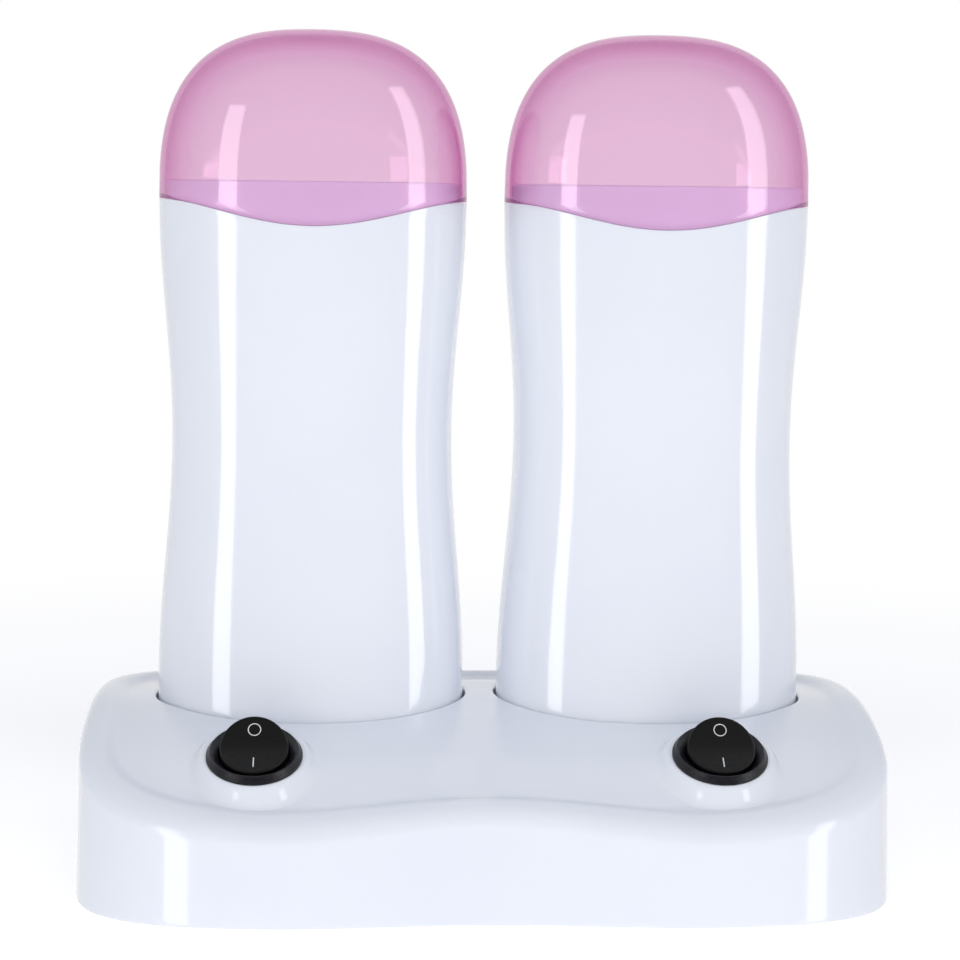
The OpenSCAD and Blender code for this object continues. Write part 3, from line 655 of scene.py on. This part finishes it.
def cut_pocket(obj):
    """Cuts the flat pocket of the power socket into the back wall."""
    half_w = (PIN_PITCH + 2 * SOCKET_R + 2 * SOCKET_WALL) / 2 + POCKET_MARGIN
    half_h = SOCKET_R + SOCKET_WALL + POCKET_MARGIN
    hole_w, hole_h = half_w - POCKET_MARGIN + FIT_GAP, half_h - POCKET_MARGIN + FIT_GAP
    floor_y = BASE_D / 2 - WAIST_DECK - WALL_LEAN - POCKET_DEPTH
    bm = bmesh.new()
    bm.from_mesh(obj.data)
    bound_pocket(bm, half_w, half_h)
    open_pocket(bm, half_w, half_h, floor_y)
    # The pocket's floor is a frame round the socket
    corners = []
    for w, h in ((half_w, half_h), (hole_w, hole_h)):
        corners.append([bm.verts.new((x * MM, floor_y * MM, (POWER_H + z) * MM))
                        for x, z in ((-w, -h), (w, -h), (w, h), (-w, h))])
    inner = [bm.verts.new(v.co - Vector((0, SOCKET_DEPTH * MM, 0))) for v in corners[1]]
    for i in range(4):
        j = (i + 1) % 4
        bm.faces.new((corners[0][i], corners[0][j], corners[1][j], corners[1][i]))
        bm.faces.new((corners[1][i], corners[1][j], inner[j], inner[i]))
    bmesh.ops.remove_doubles(bm, verts=bm.verts, dist=1e-6)
    bmesh.ops.recalc_face_normals(bm, faces=bm.faces)
    bm.to_mesh(obj.data)
    bm.free()
    shade(obj.data, SMOOTH)


def bound_pocket(bm, half_w, half_h):
    """Cuts the wall's faces near the pocket along its four sides."""
    near_x, near_y, low_z, high_z = (v * MM for v in (30, 40, 3, 36))
    planes = [((s * half_w, 0, 0), (1, 0, 0)) for s in (-1, 1)]
    planes += [((0, 0, POWER_H + s * half_h), (0, 0, 1)) for s in (-1, 1)]
    for place, normal in planes:
        near = []
        for face in bm.faces:
            at = face.calc_center_median()
            if at.y > near_y and abs(at.x) < near_x and low_z < at.z < high_z:
                near.append(face)
        geom = near + list({e for f in near for e in f.edges})
        geom += list({v for f in near for v in f.verts})
        bmesh.ops.bisect_plane(bm, geom=geom, dist=1e-7, plane_co=Vector(place) * MM,
                               plane_no=normal)


def open_pocket(bm, half_w, half_h, floor_y):
    """Takes out the faces inside the pocket's four sides and draws their rim in to its floor."""
    wall_y = BASE_D / 2 - 12
    doomed = set()
    for face in bm.faces:
        at = face.calc_center_median()
        if (face.normal.y > 0.5 and at.y > wall_y * MM and abs(at.x) < half_w * MM
                and abs(at.z - POWER_H * MM) < half_h * MM):
            doomed.add(face)
    rim = [e for e in {e for f in doomed for e in f.edges}
           if sum(f in doomed for f in e.link_faces) == 1]
    bmesh.ops.delete(bm, geom=list(doomed), context="FACES_ONLY")
    made = bmesh.ops.extrude_edge_only(bm, edges=[e for e in rim if e.is_valid])["geom"]
    for item in made:
        if isinstance(item, bmesh.types.BMVert):
            item.co.y = floor_y * MM


def polish_deck(obj):
    """Gives the deck the exact normals of its height formula, for calm reflections."""
    lowest, past_crest, off_deck, upward = 18.0, 0.3, 0.01, 0.5
    mesh = obj.data
    count = len(mesh.vertices)
    co = np.empty(count * 3)
    mesh.vertices.foreach_get("co", co)
    co = co.reshape(-1, 3) / MM
    corner = np.empty(len(mesh.loops) * 3)
    mesh.corner_normals.foreach_get("vector", corner)
    corner = corner.reshape(-1, 3)
    vert_of = np.empty(len(mesh.loops), int)
    mesh.loops.foreach_get("vertex_index", vert_of)
    x, y, z = co.T
    top = (z > lowest) & (inset_of(x, y) > CREST_IN + past_crest)
    top[top] = np.abs(deck_height(x[top], y[top]) - z[top]) < off_deck
    normals = np.zeros((count, 3))
    normals[top] = deck_normals(x[top], y[top])
    use = top[vert_of] & (corner[:, 2] > upward)
    corner[use] = normals[vert_of[use]]
    mesh.normals_split_custom_set([tuple(n) for n in corner])


# ---- Handsets ----

def handset_size(z):
    """Width, depth and squareness of a handset at a height over its foot."""
    low = (z - STRAIGHT_H) / (GRIP_H - STRAIGHT_H)
    high = (z - GRIP_H) / (SHOULDER_H - GRIP_H)
    if z < GRIP_H:
        return (ease(FOOT_W, GRIP_W, low), ease(HANDSET_D, GRIP_D, low),
                ease(OVAL_SQUARE, GRIP_SQUARE, low))
    return (ease(GRIP_W, SHOULDER_W, high), ease(GRIP_D, HANDSET_D, high),
            ease(GRIP_SQUARE, SHOULDER_SQUARE, high))


def handset_ring(z, inset):
    w, d, square = handset_size(z)
    return at_height(oval(w - 2 * inset, d - 2 * inset, square), z)


def seam_z(x):
    """The seam between handset and cap, which dips in the middle of the front and back."""
    share = np.minimum(1, np.abs(2 * x / SHOULDER_W))
    return SHOULDER_H - SEAM_DIP * (1 - share ** 2) ** 2


def seam_ring(inset, up):
    p = oval(SHOULDER_W - 2 * inset, HANDSET_D - 2 * inset, SHOULDER_SQUARE)
    return at_height(p, seam_z(p[:, 0]) + up)


def to_dock(side):
    return Matrix.Translation(Vector((side * DOCK_SPACING / 2, DOCK_Y, HANDSET_Z)) * MM)


def handset_shell(name, side, material):
    """The shell, from its recessed bottom up the outside and a little way in at the seam."""
    edge, foot_r, inner_edge = SHELL_EDGE, 0.8, 0.15
    rings = [handset_ring(BOTTOM_RECESS + 0.7, HANDSET_WALL),
             handset_ring(BOTTOM_RECESS, BOTTOM_IN), handset_ring(inner_edge, BOTTOM_IN),
             handset_ring(0.0, BOTTOM_IN - inner_edge)]
    for a in quarter(7):
        rings.append(handset_ring(foot_r * (1 - cos(a)), foot_r * (1 - sin(a))))
    for z in np.linspace(2, SHOULDER_H - SEAM_DIP - 4, 90):
        rings.append(handset_ring(z, 0))
    last, rim = rings[-1], seam_ring(0, -edge)
    for s in (0.25, 0.5, 0.75):
        rings.append(last + (rim - last) * s)
    for a in quarter(6):
        rings.append(seam_ring(edge * (1 - cos(a)), -edge * (1 - sin(a))))
    rings += [seam_ring(HANDSET_WALL - inner_edge, 0), seam_ring(HANDSET_WALL, -inner_edge),
              seam_ring(HANDSET_WALL, -4)]
    obj = loft(name + "_handset_skin", rings)
    obj.data.transform(to_dock(side))
    finish_piece(obj, name + "_handset", "white_plastic", material, name + "_handset_shell")


def chamber_ring(grow, z):
    return at_height(oval(CHAMBER_W + grow, CHAMBER_T + grow, CHAMBER_SQUARE), z)


def chamber(name, side, material):
    """The collar and the cup below it, one smooth skin from the outside to the floor."""
    inset, r, floor_r = HANDSET_WALL + FIT_GAP, COLLAR_R, CHAMBER_FLOOR_R
    rings = [handset_ring(z, inset)
             for z in (SHOULDER_H - COLLAR_DEPTH / 2, SHOULDER_H - 2, SHOULDER_H)]
    for a in quarter(7):
        ring = handset_ring(SHOULDER_H, inset + r * (1 - cos(a)))
        ring[:, 2] = COLLAR_H - r * (1 - sin(a))
        rings.append(ring)
    for a in quarter(7):
        rings.append(chamber_ring(2 * r * (1 - sin(a)), COLLAR_H - r * (1 - cos(a))))
    for z in np.linspace(COLLAR_H - 4, CHAMBER_FLOOR + floor_r, 12):
        rings.append(chamber_ring(0, z))
    for a in quarter(6)[1:]:
        rings.append(chamber_ring(-2 * floor_r * (1 - cos(a)),
                                  CHAMBER_FLOOR + floor_r * (1 - sin(a))))
    count = len(rings[0])
    faces = loft_faces(len(rings), count) + cap_faces((len(rings) - 1) * count, count)
    obj = make_object(name + "_chamber_skin", np.concatenate(rings), faces)
    obj.data.transform(to_dock(side))
    finish_piece(obj, name + "_handset", "white_plastic", material, name + "_chamber")


def dome_ring(a, inset):
    """A ring of the cap's dome, from its foot at angle 0 to its top at a quarter turn."""
    k = cos(a) ** (2 / CAP_SQUARE)
    z = SHOULDER_H + (CAP_H - inset) * sin(a) ** (2 / CAP_SQUARE)
    p = oval((SHOULDER_W - 2 * inset) * k, (HANDSET_D - 2 * inset) * k, SHOULDER_SQUARE)
    return at_height(p, z)


def cap_wall(inset):
    """One side of the cap's wall, from its lip to its top, in finer steps near the top."""
    low, high = seam_ring(inset, SEAM_GAP + CAP_EDGE), dome_ring(radians(6), inset)
    skirt = [low + (high - low) * s for s in np.linspace(0, 1, 6)]
    angles = list(np.arange(8, 80, 1.5)) + list(np.arange(80, 89.9, 0.7))
    return skirt + [dome_ring(radians(a), inset) for a in angles]


def cap(name, side, material):
    lip = []
    for a in np.linspace(0, pi, 9)[1:-1]:
        share = (1 - cos(a)) / 2
        lip.append(seam_ring(CAP_WALL * share, SEAM_GAP + CAP_EDGE * (1 - sin(a))))
    rings = cap_wall(0)[::-1] + lip + cap_wall(CAP_WALL)
    obj = loft(name + "_cap_skin", rings, closed_ends=True, smooth_angle=CAP_SMOOTH)
    obj.data.transform(to_dock(side))
    finish_piece(obj, name + "_lid", "pink_clear", material, name + "_cap")


# ---- Rocker switches ----

def to_switch(side):
    """From a switch's own frame, +Z out of the panel and +Y up the slope."""
    up = Vector((0, -sin(radians(SWITCH_TILT)), cos(radians(SWITCH_TILT)))) * BOSS_H
    place = Vector((side * SWITCH_SPACING / 2, SWITCH_Y, SWITCH_FOOT_H)) + up
    return Matrix.Translation(place * MM) @ Matrix.Rotation(radians(SWITCH_TILT), 4, "X")


def switch_body(name, side, material):
    """Barrel, bezel and well. The well's mouth is oval, as the rocker swings one way."""
    out, mouth, barrel = BEZEL_D / 2, BEZEL_IN_R, BARREL_D / 2
    narrow = (ROCKER_D / 2 + SIDE_GAP) / mouth
    chamfer, shoulder_r, crest_r, crest = 0.5, 0.5, 0.35, mouth + 1.0
    profile = [(TIP_R, -BARREL_H), (barrel - chamfer, -BARREL_H), (barrel, chamfer - BARREL_H),
               (barrel, 0.0), (out - 0.15, 0.0), (out, 0.12), (out, 0.45)]
    profile += round_corner(shoulder_r, 0, 62, 6, (out - shoulder_r, 0.5))
    profile += round_corner(crest_r, 62, 128, 6, (crest, BEZEL_H - crest_r))
    rings = [turned_ring(r, z) for r, z in profile]
    well = [(mouth + 0.12, BEZEL_H - 0.9), (mouth, BEZEL_H - 1.05), (mouth, -BARREL_FLOOR),
            (TIP_R, -BARREL_FLOOR)]
    rings += [turned_ring(r, z) * (narrow, 1, 1) for r, z in well]
    obj = loft(name + "_switch_skin", rings)
    obj.data.transform(to_switch(side))
    finish_piece(obj, "base", "switch_black", material, name + "_switch_body")


def face_height(s):
    """Height of the rocker's hollow face over its pivot, at s from its middle."""
    hollow = np.sqrt(s * s + FACE_SOFT * FACE_SOFT) - FACE_SOFT * FACE_SINK
    return ROCKER_FACE_H + tan(radians(ROCKER_DISH)) * hollow


def to_rocker(side):
    return (to_switch(side) @ Matrix.Translation(Vector((0, 0, PIVOT_H)) * MM)
            @ Matrix.Rotation(radians(ROCKER_THROW / 2), 4, "X"))


def rocker(name, side, material):
    """A round skirt, a soft edge and the hollow face, as rings that close in on its middle."""
    r, edge, foot, middle = ROCKER_D / 2, 0.55, 0.3, 0.05
    rings = [turned_ring(r - foot, -ROCKER_SKIRT), turned_ring(r, foot - ROCKER_SKIRT)]
    for a in quarter(9):
        p = circle(r - edge * (1 - cos(a)))
        rings.append(at_height(p, face_height(p[:, 1]) - edge * (1 - sin(a))))
    for radius in np.linspace(r - edge, middle, 22)[1:]:
        p = circle(radius)
        rings.append(at_height(p, face_height(p[:, 1])))
    obj = loft(name + "_rocker_skin", rings)
    obj.data.transform(to_rocker(side))
    finish_piece(obj, name + "_button", "switch_black", material, name + "_rocker")


def flat_mark(name, side, outer, inner, closed):
    """A printed mark that follows the rocker's face, as a strip between two outlines."""
    points = np.concatenate([outer, inner])
    verts = at_height(points, face_height(points[:, 1]) + MARK_LIFT)
    n = len(outer)
    faces = [(i, (i + 1) % n, n + (i + 1) % n, n + i) for i in range(n if closed else n - 1)]
    obj = make_object(name, verts, faces)
    obj.data.transform(to_rocker(side))
    return obj


def rocker_marks(name, side, material):
    """The ring on the rocker's raised half and the bar on the half that is pressed in."""
    outer, inner = (circle(r, 64) + [0, MARK_AT] for r in (RING_R, RING_IN_R))
    o_mark = flat_mark(name + "_mark_off", side, outer, inner, closed=True)
    ends = np.linspace(-BAR_L / 2, BAR_L / 2, 8) - MARK_AT
    left, right = (np.stack([np.full(8, x), ends], -1) for x in (-BAR_W / 2, BAR_W / 2))
    i_mark = flat_mark(name + "_mark_on", side, left, right, closed=False)
    for obj in (o_mark, i_mark):
        finish_piece(obj, name + "_button", "white_plastic", material)


# ---- The camera, the light and the floor ----

CAMERA_AT = Vector((-33.58, -582.50, 167.92)) * MM
CAMERA_AZIMUTH, CAMERA_ELEVATION, CAMERA_ROLL = -3.185, 6.689, 0.771
LENS, SENSOR = 88.55, 36.0
CLIP = (0.05, 50)

# Strips: azimuth in degrees from the front, top and width in metres, radiance
STRIP_DISTANCE, STRIP_FOOT = 1.5, -0.6
STRIPS = (
    ("left_strip", -46, 0.96, 0.33, 3.6),
    ("right_strip", 58.3, 1.55, 0.4, 3.6),
    ("left_base_strip", -30.5, 0.96, 0.236, 2.5),
    ("right_base_strip", 43.7, 1.0, 0.262, 2.4),
)
# Fills: azimuth, distance, foot, top and width, radiance, colour
FILLS = (
    ("low_fill", 0, 0.42, 0.06, 0.11, 0.9, 4.4, (1, 0.985, 0.95)),
    ("high_fill", 0, 1.0, 1.0, 1.6, 1.2, 4.3, (0.95, 0.97, 1)),
    ("back_fill", 180, 1.1, 0.01, 0.3, 2.0, 1.5, (1, 1, 1)),
)
# The world's soft light
WORLD_COLOUR, WORLD_LIGHT = (0.85, 0.895, 1.0, 1), 0.37
# Brightness in reflections: the directions' y where it starts and ends to rise, from and to
MIRRORED_ROOM = (-0.5, 0.3, 0.3, 0.95)
# The floor's own light, for bounced light and for the camera
FLOOR_LIFT = (0.4, 0.47)
# Where the floor starts to fade and where it is all backdrop, in metres from the middle
FLOOR_FADE = (0.2, 0.55)
FLOOR_R, FLOOR_SIDES = 2.0, 64


def camera():
    a, e, r = (radians(v) for v in (CAMERA_AZIMUTH, CAMERA_ELEVATION, CAMERA_ROLL))
    back = Vector((sin(a) * cos(e), -cos(a) * cos(e), sin(e)))
    right = Vector((cos(a), sin(a), 0))
    up = back.cross(right)
    right, up = cos(r) * right + sin(r) * up, cos(r) * up - sin(r) * right
    data = bpy.data.cameras.new("camera")
    data.lens, data.sensor_width, data.sensor_fit = LENS, SENSOR, "HORIZONTAL"
    data.clip_start, data.clip_end = CLIP
    obj = bpy.data.objects.new("camera", data)
    turn = Matrix((right, up, back)).transposed()
    obj.matrix_world = Matrix.Translation(CAMERA_AT) @ turn.to_4x4()
    bpy.context.scene.collection.objects.link(obj)
    bpy.context.scene.camera = obj


def lamp(name, azimuth, distance, low, high, width, radiance, colour, **rays):
    """An upright area light at an azimuth from the front, from one height to another."""
    a = radians(azimuth)
    place = Vector((sin(a) * distance, -cos(a) * distance, (low + high) / 2))
    data = bpy.data.lights.new(name, "AREA")
    data.shape, data.size, data.size_y = "RECTANGLE", width, high - low
    data.energy = radiance * width * (high - low) * pi
    data.color = colour
    obj = bpy.data.objects.new(name, data)
    obj.matrix_world = (Matrix.Translation(place) @ Matrix.Rotation(a, 4, "Z")
                        @ Matrix.Rotation(pi / 2, 4, "X"))
    for key, value in rays.items():
        setattr(obj, key, value)
    bpy.context.scene.collection.objects.link(obj)
    return obj


def light_only(lamp_object, targets):
    """Keeps a lamp's light to these objects."""
    group = bpy.data.collections.new(lamp_object.name + "_targets")
    for target in targets:
        group.objects.link(target)
    lamp_object.light_linking.receiver_collection = group


def studio_lamps():
    """Tall strips at the sides, a pair for the base and a pair for the rest, and three fills."""
    base = [bpy.data.objects["base_shell_skin"]]
    rest = [o for o in bpy.context.scene.objects if o.type == "MESH" and o not in base]
    for name, azimuth, high, width, radiance in STRIPS:
        strip = lamp(name, azimuth, STRIP_DISTANCE, STRIP_FOOT, high, width, radiance,
                     (1, 1, 1), visible_diffuse=False)
        light_only(strip, base if "base" in name else rest)
    for values in FILLS:
        lamp(*values, visible_camera=False, visible_glossy=False, visible_transmission=False)


def world():
    """Soft light all round, with a white backdrop that is dimmer on the camera's side."""
    w = bpy.data.worlds.new("studio")
    w.use_nodes = True
    tree = w.node_tree
    tree.nodes.clear()
    out = tree.nodes.new("ShaderNodeOutputWorld")
    shades = {}
    white = (1, 1, 1, 1)
    for name, colour, strength in (("soft", WORLD_COLOUR, WORLD_LIGHT), ("seen", white, 1.0),
                                   ("mirrored", white, 1.0)):
        node = tree.nodes.new("ShaderNodeBackground")
        node.inputs["Color"].default_value = colour
        node.inputs["Strength"].default_value = strength
        shades[name] = node
    way = tree.nodes.new("ShaderNodeTexCoord")
    parts = tree.nodes.new("ShaderNodeSeparateXYZ")
    spread = tree.nodes.new("ShaderNodeMapRange")
    for key, value in zip(("From Min", "From Max", "To Min", "To Max"), MIRRORED_ROOM):
        spread.inputs[key].default_value = value
    tree.links.new(way.outputs["Generated"], parts.inputs[0])
    tree.links.new(parts.outputs["Y"], spread.inputs["Value"])
    tree.links.new(spread.outputs[0], shades["mirrored"].inputs["Strength"])
    path = tree.nodes.new("ShaderNodeLightPath")
    last = shades["soft"].outputs[0]
    seen = any_of(tree, path.outputs["Is Camera Ray"], path.outputs["Is Transmission Ray"])
    for fac, name in ((path.outputs["Is Glossy Ray"], "mirrored"), (seen, "seen")):
        mix = tree.nodes.new("ShaderNodeMixShader")
        tree.links.new(fac, mix.inputs["Fac"])
        tree.links.new(last, mix.inputs[1])
        tree.links.new(shades[name].outputs[0], mix.inputs[2])
        last = mix.outputs[0]
    tree.links.new(last, out.inputs["Surface"])
    bpy.context.scene.world = w


def floor():
    """A pale floor that keeps the object's soft shadow and fades into the backdrop."""
    verts = [(0, 0, 0)] + [(x, y, 0) for x, y in circle(FLOOR_R, FLOOR_SIDES)]
    faces = [(0, i + 1, (i + 1) % FLOOR_SIDES + 1) for i in range(FLOOR_SIDES)]
    mesh = bpy.data.meshes.new("floor")
    mesh.from_pydata(verts, [], faces)
    obj = bpy.data.objects.new("floor", mesh)
    bpy.context.scene.collection.objects.link(obj)

    m = Nodes("floor_pale")
    matt = m.add("ShaderNodeBsdfPrincipled")
    matt.inputs["Roughness"].default_value = 0.9
    matt.inputs["Specular IOR Level"].default_value = 0.1
    m.link(m.ramp(m.noise(4, 3), srgb(244, 244, 246), srgb(248, 248, 250)),
           matt.inputs["Base Color"])
    path = m.add("ShaderNodeLightPath")
    lift = m.add("ShaderNodeEmission")
    lift.inputs["Color"].default_value = (1.0, 0.985, 0.96, 1)
    lifted = m.add("ShaderNodeMixShader")
    m.link(any_of(m.tree, path.outputs["Is Camera Ray"], path.outputs["Is Diffuse Ray"]),
           lifted.inputs["Fac"])
    share = m.add("ShaderNodeMapRange")
    share.inputs["To Min"].default_value, share.inputs["To Max"].default_value = FLOOR_LIFT
    m.link(path.outputs["Is Camera Ray"], share.inputs["Value"])
    m.link(share.outputs[0], lift.inputs["Strength"])
    m.link(lift.outputs[0], lifted.inputs[2])
    total = m.add("ShaderNodeAddShader")
    m.link(matt.outputs[0], total.inputs[0])
    m.link(lifted.outputs[0], total.inputs[1])
    # Far from the object it is as white as the backdrop
    reach = m.add("ShaderNodeVectorMath", operation="LENGTH")
    m.link(m.where, reach.inputs[0])
    fade = m.add("ShaderNodeMapRange", interpolation_type="SMOOTHSTEP")
    fade.inputs["From Min"].default_value, fade.inputs["From Max"].default_value = FLOOR_FADE
    m.link(reach.outputs["Value"], fade.inputs["Value"])
    far = m.add("ShaderNodeMath", operation="MULTIPLY")
    m.link(fade.outputs[0], far.inputs[0])
    m.link(path.outputs["Is Camera Ray"], far.inputs[1])
    white = m.add("ShaderNodeEmission")
    mix = m.add("ShaderNodeMixShader")
    m.link(any_of(m.tree, far.outputs[0], path.outputs["Is Glossy Ray"],
                  path.outputs["Is Transmission Ray"]), mix.inputs["Fac"])
    m.link(total.outputs[0], mix.inputs[1])
    m.link(white.outputs[0], mix.inputs[2])
    m.link(mix.outputs[0], m.out.inputs["Surface"])
    mesh.materials.append(m.material)
    obj.visible_glossy = False
    obj.visible_shadow = False


# ---- Making it ----

def dress_cad_nodes():
    """Every CAD piece that stays gets the material of its slot."""
    slots = {s["node"]: s["material_slot"] for s in frame["record"]["subparts"]}
    for node, obj in frame["nodes"].items():
        if obj.hide_render:
            continue
        obj.data.materials.clear()
        obj.data.materials.append(MATERIALS[slots[node]])
        shade(obj.data, CAD_SMOOTH)


def build():
    white, pink, black = (MATERIALS[k] for k in ("white_plastic", "pink_clear", "switch_black"))
    base_skin(white)
    for name, side in SIDES.items():
        handset_shell(name, side, white)
        chamber(name, side, COLLAR_PAINTED_LIGHT)
        cap(name, side, pink)
        switch_body(name, side, BEZEL)
        rocker(name, side, black)
        rocker_marks(name, side, PRINT)
    dress_cad_nodes()


camera()
build()
floor()
world()
studio_lamps()

scene = bpy.context.scene
scene.view_settings.view_transform = "Standard"
